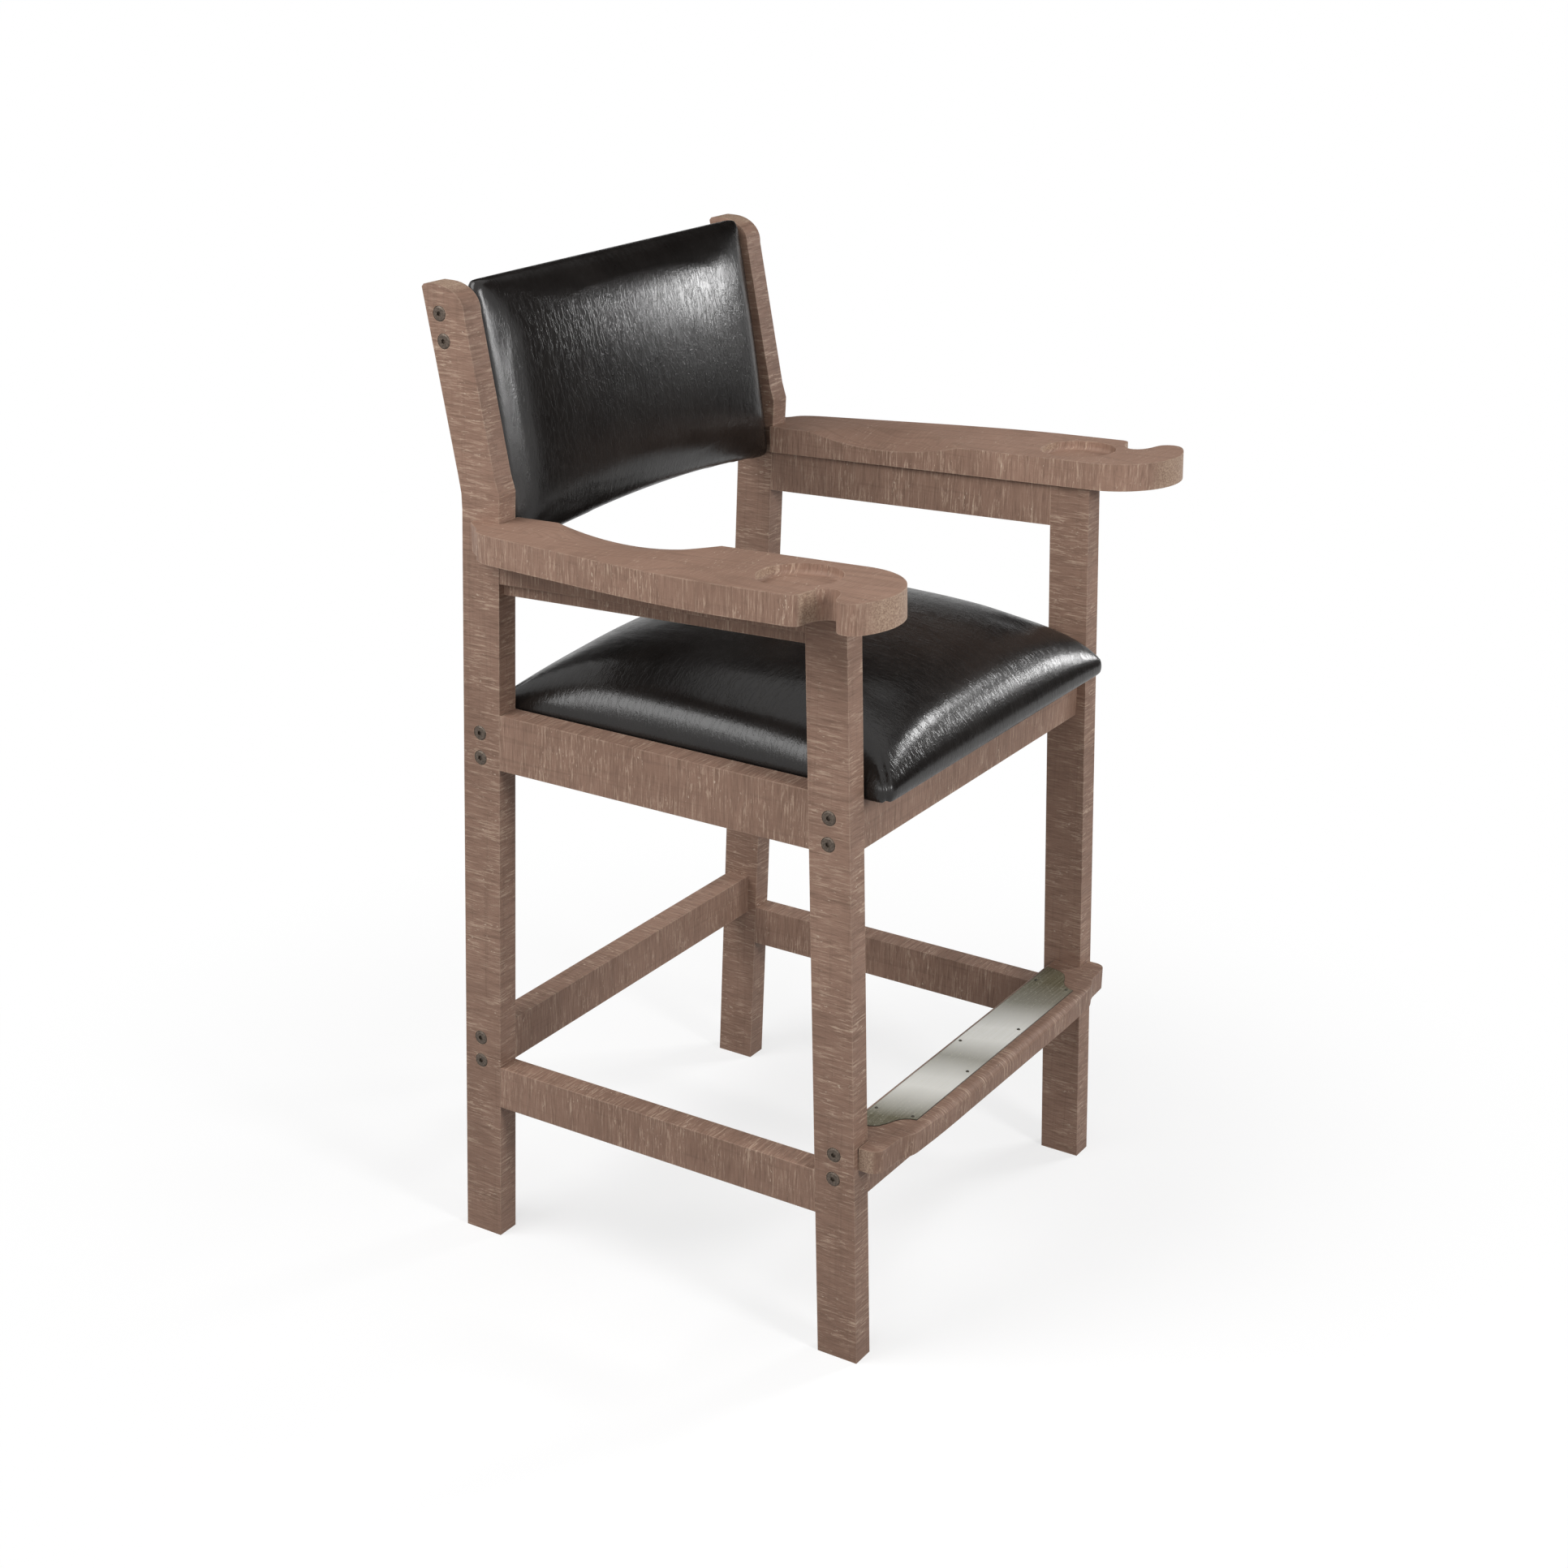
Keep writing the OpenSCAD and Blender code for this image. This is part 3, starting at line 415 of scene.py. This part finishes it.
# ------------------------------------------------------------------------ pads
def pad_outline(a, y0, y1, r, arch, per_edge, per_corner):
    """Rounded rectangle, anticlockwise, whose y0 edge rises by arch in the middle."""
    pts = []

    def lift(x, y):
        return (x, y + arch * (1 - (x / a) ** 2))

    def along(p, q, n):
        return [(p[0] + (q[0] - p[0]) * i / n, p[1] + (q[1] - p[1]) * i / n) for i in range(n)]

    def corner(cx, cy, start):
        angles = [start + math.pi / 2 * i / per_corner for i in range(per_corner)]
        return [(cx + r * math.cos(t), cy + r * math.sin(t)) for t in angles]

    pts += [lift(*p) for p in along((-a + r, y0), (a - r, y0), per_edge)]
    pts += [lift(*p) for p in corner(a - r, y0 + r, -math.pi / 2)]
    pts += along((a, y0 + r), (a, y1 - r), per_edge)
    pts += corner(a - r, y1 - r, 0)
    pts += along((a - r, y1), (-a + r, y1), per_edge)
    pts += corner(-a + r, y1 - r, math.pi / 2)
    pts += along((-a, y1 - r), (-a, y0 + r), per_edge)
    pts += [lift(*p) for p in corner(-a + r, y0 + r, math.pi)]
    return pts


def pad_mesh(name, a, y0, y1, r, arch, z0, edge, crown, power, rear_power, dome):
    """Closed crowned pad in millimetres: flat base at z0, widest at z0 + edge, crown above that.
    power shapes the crown's fall towards the sides and y0, rear_power towards y1, and a lower
    dome bends the crown more evenly from side to side."""
    line = pad_outline(a, y0, y1, r, arch, per_edge=34, per_corner=8)
    cy = (y0 + y1) / 2 + arch / 3
    b = (y1 - y0) / 2
    verts, faces = [], []
    # each ring is the outline drawn in by a factor: first across the base and up the edge, with
    # heights, and then over the crown, whose heights follow from the factor
    rings = [(0.30, 0), (0.62, 0), (0.86, 0), (0.97, 0), (0.993, 0.4), (0.999, edge * 0.22),
             (1.0, edge * 0.6), (1.0, edge)]
    tops = [0.997, 0.988, 0.975, 0.955, 0.93, 0.90, 0.86, 0.81,
            0.75, 0.68, 0.60, 0.50, 0.40, 0.30, 0.20, 0.10]
    ring_index = []
    for k, z in rings:
        ring_index.append(len(verts))
        verts += [(x * k, cy + (y - cy) * k, z0 + z) for x, y in line]
    for k in tops:
        ring_index.append(len(verts))
        for x, y in line:
            px, py = x * k, cy + (y - cy) * k
            u = min(1.0, abs(px) / a)
            v = min(1.0, abs(py - cy) / b)
            g = (1 - u ** dome) ** power * (1 - v ** 2.6) ** (rear_power if py > cy else power)
            g *= (1 - k ** 16) ** 0.42
            verts.append((px, py, z0 + edge + crown * g))
    n = len(line)
    for lo, hi in zip(ring_index, ring_index[1:]):
        for i in range(n):
            j = (i + 1) % n
            faces.append((lo + i, lo + j, hi + j, hi + i))
    low = len(verts)
    verts.append((0, cy, z0))
    top = len(verts)
    verts.append((0, cy, z0 + edge + crown))
    for i in range(n):
        j = (i + 1) % n
        faces.append((low, ring_index[0] + j, ring_index[0] + i))
        faces.append((top, ring_index[-1] + i, ring_index[-1] + j))
    obj = mesh_object(name, [(x * MM, y * MM, z * MM) for x, y, z in verts], faces)
    obj.data.validate()
    return obj


FRAMES = 20                   # length of a cloth simulation
ROUNDS, AVERAGES = 3, 8       # of evening out its swelling


def inflate(obj, voxel, pressure, cap, hold_below, limit_x):
    """Voxel remesh, then a pressurised cloth simulation whose movement is capped. What lies
    below hold_below stays, and nothing goes past limit_x to either side."""
    remesh = obj.modifiers.new("remesh", "REMESH")
    remesh.mode = "VOXEL"
    remesh.voxel_size = voxel
    apply_modifiers(obj)
    rest = [(v.co.copy(), v.normal.copy()) for v in obj.data.vertices]
    group = obj.vertex_groups.new(name="held")
    group.add([v.index for v in obj.data.vertices if v.co.z < hold_below], 1.0, "REPLACE")
    cloth_mod = obj.modifiers.new("cloth", "CLOTH")
    s = cloth_mod.settings
    s.quality = 6
    s.mass = 0.35
    s.use_pressure = True
    s.uniform_pressure_force = pressure
    s.tension_stiffness = 18
    s.compression_stiffness = 18
    s.shear_stiffness = 8
    s.bending_stiffness = 0.8
    s.effector_weights.gravity = 0
    s.vertex_group_mass = "held"
    cloth_mod.collision_settings.use_collision = False
    scene.frame_start, scene.frame_end = 1, FRAMES
    for f in range(1, FRAMES + 1):
        scene.frame_set(f)
    deps = bpy.context.evaluated_depsgraph_get()
    moved = bpy.data.meshes.new_from_object(obj.evaluated_get(deps))
    obj.modifiers.clear()
    scene.frame_set(1)
    new = [v.co.copy() for v in moved.vertices]
    bpy.data.meshes.remove(moved)
    # the swelling is evened out over its neighbours, so that no ridge stands along the edges
    ends = np.array([e.vertices[:] for e in obj.data.edges])
    count = np.bincount(ends.ravel(), minlength=len(rest))[:, None]
    old = np.array([co[:] for co, _ in rest])
    out = np.array([n[:] for _, n in rest])
    d = np.array([co[:] for co in new]) - old
    for _ in range(ROUNDS):
        # never below the padding's own shape, and never further out than the cap
        d -= out * np.minimum(0.0, (d * out).sum(axis=1))[:, None]
        d *= np.minimum(1.0, cap / np.maximum(1e-9, np.linalg.norm(d, axis=1)))[:, None]
        for _ in range(AVERAGES):
            near = np.zeros_like(d)
            np.add.at(near, ends[:, 0], d[ends[:, 1]])
            np.add.at(near, ends[:, 1], d[ends[:, 0]])
            d = 0.5 * d + 0.5 * near / count
    for v, was, step in zip(obj.data.vertices, old, d):
        p = was + step
        v.co = (max(-limit_x, min(limit_x, p[0])), p[1], max(p[2], min(was[2], hold_below)))


def fold_corners(obj, a, y0, y1, deep, half_width, long):
    """Presses a short fold into each corner of a pad, along its diagonal, deepest at the corner."""
    for v, n in [(v, v.normal.copy()) for v in obj.data.vertices]:
        p = a - abs(v.co.x)
        q = min(v.co.y - y0, y1 - v.co.y)
        off = abs(p - q) / math.sqrt(2)
        run = (p + q) / math.sqrt(2)
        if off < half_width and run < long:
            v.co -= n * deep * (1 - (off / half_width) ** 2) ** 2 * (1 - run / long)


def finish_pad(obj, mat, node, place, fold=None):
    smooth = obj.modifiers.new("smooth", "SMOOTH")
    smooth.factor = 0.5
    smooth.iterations = 3
    sub = obj.modifiers.new("subdivide", "SUBSURF")
    sub.levels = sub.render_levels = 1
    apply_modifiers(obj)
    if fold:
        fold_corners(obj, *fold)
    obj.data.transform(place)
    for poly in obj.data.polygons:
        poly.use_smooth = True
    dress(obj, mat)
    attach(obj, "root")
    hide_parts(node)


# --------------------------------------------------------------- build the chair
WOOD_POST = wood("stained_wood_post", 2, seed=0.3)
WOOD_SIDE = wood("stained_wood_side_rail", 1, seed=1.9)
WOOD_CROSS = wood("stained_wood_cross_rail", 0, seed=3.1)
WOOD_ARM = wood("stained_wood_arm", 1, lift=0.09, seed=4.7, smooth_top=True)
LEATHER_SEAT = leather("black_leatherette_seat", (170, 44, 50), (44, 170, 50), 1.0, 0.75)
LEATHER_BACK = leather("black_leatherette_back", (190, 90, 46), (90, 140, 46), 0.3, 0.70)
PLATE = plate_metal("brushed_plate")
BOLT = dark_metal("dark_bronze_bolt", (0.070, 0.054, 0.042), 0.60, 0.40)
SCREW = dark_metal("dull_plate_screw", (0.045, 0.040, 0.030), 0.60, 0.45)
STEEL = dark_metal("zinc_steel", (0.38, 0.38, 0.38), 1.0, 0.35)
INNER = plain_wood("plain_hardwood", (0.52, 0.38, 0.24), (0.36, 0.24, 0.14), 1)
PLY = plain_wood("plywood", (0.58, 0.44, 0.27), (0.42, 0.30, 0.17), 0)
LINING = cloth("black_lining", (0.012, 0.012, 0.013))
FOAM = foam("cream_foam")

for side in ("left", "right"):
    eased("back_post_" + side, 0.0022, WOOD_POST)
    eased("front_post_" + side, 0.0022, WOOD_POST)
    eased("lower_side_rail_" + side, 0.0018, WOOD_SIDE)
    eased("seat_side_rail_" + side, 0.0018, WOOD_SIDE)
    eased("arm_rail_" + side, 0.0015, WOOD_SIDE)
    eased("arm_cleat_" + side, 0.0015, WOOD_SIDE)
    eased("armrest_" + side, 0.0040, WOOD_ARM, segments=4)
    dress(nodes["seat_cleat_" + side], INNER)
for name in ("front_seat_rail", "rear_seat_rail", "rear_stretcher", "front_foot_rail",
             "upper_back_rail", "lower_back_rail"):
    eased(name, 0.0018, WOOD_CROSS)
eased("foot_board", 0.0030, WOOD_CROSS)
eased("foot_plate", 0.0003, PLATE, segments=2)

for mat, names in ((SCREW, ["plate_screws"]), (BOLT, ["frame_bolts"]), (INNER, ["dowels"]),
                   (STEEL, ["armrest_screws", "seat_screws", "back_screws", "barrel_nuts"]),
                   (PLY, ["seat_board", "back_board"]), (LINING, ["seat_lining", "back_lining"])):
    for name in names:
        dress(nodes[name], mat)

PAD_A = XI - 3.0              # half width of both pads, clear of the posts
CLEAR = (XI - 0.6) * MM       # how far out a swollen pad may go
PRESSURE, CAP = 4.0, 0.005

# seat pad
SEAT_Y0, SEAT_Y1 = -572.0 - Y_MID, -15.0 - Y_MID
seat = pad_mesh("seat_cushion", PAD_A, SEAT_Y0, SEAT_Y1, r=15, arch=0, z0=706.1, edge=17,
                crown=85, power=0.35, rear_power=0.60, dome=2.6)
inflate(seat, 0.006, PRESSURE, CAP, hold_below=0.7075, limit_x=CLEAR)
FOLD_DEEP, FOLD_HALF_WIDTH, FOLD_LONG = 0.0035, 0.0045, 0.060
finish_pad(seat, LEATHER_SEAT, "seat_cover", Matrix.Identity(4),
           fold=((PAD_A + 2) * MM, (SEAT_Y0 - 2) * MM, (SEAT_Y1 + 2) * MM,
                 FOLD_DEEP, FOLD_HALF_WIDTH, FOLD_LONG))

# back pad, built lying down and then stood up on its raked plane. Its foot, at the height PAD_Z,
# stands PAD_IN behind the front faces of the rear posts. These are POST_D deep, and their rear
# faces cross y = 0 at REF_Z.
PAD_RAKE, REAR_LEAN = math.radians(10.2), math.radians(1.09)
PAD_Z, PAD_IN, REF_Z, POST_D = 916, 4, 733, 54
back = pad_mesh("back_cushion", PAD_A, 0.0, 322.0, r=12, arch=19, z0=-11.9, edge=13,
                crown=33, power=0.38, rear_power=0.38, dome=2.0)
inflate(back, 0.005, PRESSURE, CAP, hold_below=-0.0112, limit_x=CLEAR)
pad_y0 = (REF_Z - PAD_Z) * math.tan(REAR_LEAN) - POST_D + PAD_IN
stand = (Matrix.Translation((0, (pad_y0 - Y_MID) * MM, PAD_Z * MM))
         @ Matrix.Rotation(math.pi / 2 - PAD_RAKE, 4, "X"))
finish_pad(back, LEATHER_BACK, "back_cover", stand)

# foam blocks stay hidden inside the covers, a little smaller than the simulated pads
for pad, node, k in ((seat, "seat_foam", 0.97), (back, "back_foam", 0.96)):
    core = add_object(node + "_core", pad.data.copy())
    mid = sum((v.co for v in core.data.vertices), Vector()) / len(core.data.vertices)
    for v in core.data.vertices:
        v.co = mid + (v.co - mid) * k
    dress(core, FOAM)
    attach(core, "root")
    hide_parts(node)


# ------------------------------------------------------------------------ stage
def white_seen(tree):
    """1 for the rays that should meet the white background: straight, mirrored and passed through."""
    path = tree.nodes.new("ShaderNodeLightPath")
    out = path.outputs["Is Camera Ray"]
    for name in ("Is Glossy Ray", "Is Transmission Ray"):
        m = tree.nodes.new("ShaderNodeMath")
        m.operation = "MAXIMUM"
        tree.links.new(out, m.inputs[0])
        tree.links.new(path.outputs[name], m.inputs[1])
        out = m.outputs[0]
    return out


def pale_floor():
    """Keeps the chair's shadow near the chair and fades to plain white further out."""
    m = Mat("pale_floor")
    grey, white = (0.26, 0.26, 0.26), (0.93, 0.93, 0.93)
    m.link(m.mix(white_seen(m.tree), grey, white), m.bsdf.inputs["Base Color"])
    m.bsdf.inputs["Roughness"].default_value = 0.9
    m.bsdf.inputs["Specular IOR Level"].default_value = 0.0
    reach = m.node("ShaderNodeVectorMath", operation="LENGTH")
    m.link(m.node("ShaderNodeTexCoord").outputs["Object"], reach.inputs[0])
    far = m.node("ShaderNodeMapRange", interpolation_type="SMOOTHSTEP")
    far.inputs["From Min"].default_value = 0.35
    far.inputs["From Max"].default_value = 1.3
    far.inputs["To Min"].default_value = 0.66
    m.link(reach.outputs["Value"], far.inputs["Value"])
    plain = m.node("ShaderNodeEmission")
    join = m.node("ShaderNodeMixShader")
    m.link(m.math("MULTIPLY", far.outputs["Result"], white_seen(m.tree)), join.inputs[0])
    m.link(m.bsdf.outputs[0], join.inputs[1])
    m.link(plain.outputs[0], join.inputs[2])
    m.link(join.outputs[0], m.out.inputs["Surface"])
    return m.mat


FLOOR = 30                    # metres from the middle to each side
corners = [(-FLOOR, -FLOOR, 0), (FLOOR, -FLOOR, 0), (FLOOR, FLOOR, 0), (-FLOOR, FLOOR, 0)]
floor = mesh_object("floor", corners, [(0, 1, 2, 3)])
dress(floor, pale_floor())

# black cloth keeps stray light off: every ray but the camera's meets it
black = Mat("black_cloth")
black.bsdf.inputs["Base Color"].default_value = (0.03, 0.03, 0.03, 1)
black.bsdf.inputs["Roughness"].default_value = 1.0
black.bsdf.inputs["Specular IOR Level"].default_value = 0.0


def black_cloth(name, verts, faces):
    obj = mesh_object(name, verts, faces)
    dress(obj, black.mat)
    obj.visible_camera = False


# a drape round the chair's left, lifted where the picture looks past it at the floor
DRAPE_R, DRAPE_TOP, DRAPE_HEM = 4.6, 6.0, 1.5
DRAPE_TURNS, LIFTED_FROM = range(-64, 65, 4), -4       # degrees from +X towards +Y
verts, faces = [], []
for degrees in DRAPE_TURNS:
    a = math.radians(degrees)
    hem = 0.0 if degrees < LIFTED_FROM else DRAPE_HEM
    verts += [(DRAPE_R * math.cos(a), DRAPE_R * math.sin(a), z) for z in (hem, DRAPE_TOP)]
for i in range(0, 2 * (len(DRAPE_TURNS) - 1), 2):
    faces.append((i, i + 2, i + 3, i + 1))
black_cloth("drape", verts, faces)

# a card that keeps the high lamp, meant for the seat's front, off the back pad
HIGH_LAMP = Vector((1.90, -1.18, 2.30))
to_back = (Vector((-0.1, 0.26, 1.2)) - HIGH_LAMP).normalized()
to_seat = (Vector((0, -0.27, 0.75)) - HIGH_LAMP).normalized()
rise = to_back - to_seat
rise = (rise - to_back * rise.dot(to_back)).normalized()
across = to_back.cross(rise)
CARD_LOW, CARD_HIGH, CARD_HALF = -0.12, 0.40, 0.35     # about the line to the back pad, 1 m off
card = [HIGH_LAMP + to_back + rise * a + across * b
        for a, b in ((CARD_LOW, -CARD_HALF), (CARD_LOW, CARD_HALF),
                     (CARD_HIGH, CARD_HALF), (CARD_HIGH, -CARD_HALF))]
black_cloth("card", [tuple(p) for p in card], [(0, 1, 2, 3)])

world = bpy.data.worlds.new("studio")
scene.world = world
world.use_nodes = True
wt = world.node_tree
wt.nodes.clear()
world_out = wt.nodes.new("ShaderNodeOutputWorld")
either = wt.nodes.new("ShaderNodeMixShader")
wt.links.new(white_seen(wt), either.inputs[0])
FILL, SEEN = 0.40, 1.0
for socket, strength in ((1, FILL), (2, SEEN)):
    light = wt.nodes.new("ShaderNodeBackground")
    light.inputs["Color"].default_value = (1, 1, 1, 1)
    light.inputs["Strength"].default_value = strength
    wt.links.new(light.outputs[0], either.inputs[socket])
wt.links.new(either.outputs[0], world_out.inputs["Surface"])


def softbox(name, place, aim, width, height, watts):
    data = bpy.data.lights.new(name, "AREA")
    data.shape = "RECTANGLE"
    data.size, data.size_y = width, height
    data.energy = watts
    obj = add_object(name, data)
    obj.location = place
    way = Vector(aim) - Vector(place)
    obj.rotation_euler = way.to_track_quat("-Z", "Y").to_euler()


AIM = (0, 0, 0.8)
softbox("left_back", (-2.0, 1.4, 3.1), AIM, 2.1, 2.1, 76)
softbox("left", (-3.3, -0.6, 2.0), AIM, 1.6, 1.6, 22)
softbox("front", (-0.75, -2.8, 1.92), (-0.1, 0, 0.9), 0.60, 1.1, 42)
softbox("right", (2.95, -1.28, 1.50), (0, 0.1, 1.0), 0.48, 0.50, 24)
softbox("right_high", HIGH_LAMP, (-0.1, -0.2, 0.75), 0.34, 0.42, 17)

# ----------------------------------------------------------------------- camera
# as fitted to the photograph: angles in radians, focal length and picture width in pixels
cam_data = bpy.data.cameras.new("camera")
cam = add_object("camera", cam_data)
YAW, PITCH, ROLL = 1.0149, 0.3565, 0.0169
PLACE = Vector((-2.6808, -1.8779 - Y_MID * MM, 1.7849))
FOCAL, WIDTH, SENSOR, SHIFT = 3230.43, 1932, 36, 0.0207
fw = Vector((math.sin(YAW) * math.cos(PITCH), math.cos(YAW) * math.cos(PITCH), -math.sin(PITCH)))
right = Vector((math.cos(YAW), -math.sin(YAW), 0))
up = right.cross(fw)
r_axis = right * math.cos(ROLL) + up * math.sin(ROLL)
u_axis = up * math.cos(ROLL) - right * math.sin(ROLL)
turn = Matrix((r_axis, u_axis, -fw)).transposed().to_4x4()
cam.matrix_world = Matrix.Translation(PLACE) @ turn
cam_data.sensor_width = SENSOR
cam_data.lens = FOCAL * SENSOR / WIDTH
cam_data.shift_x, cam_data.shift_y = SHIFT, -SHIFT
cam_data.clip_end = 100
scene.camera = cam
scene.view_settings.view_transform = "Standard"
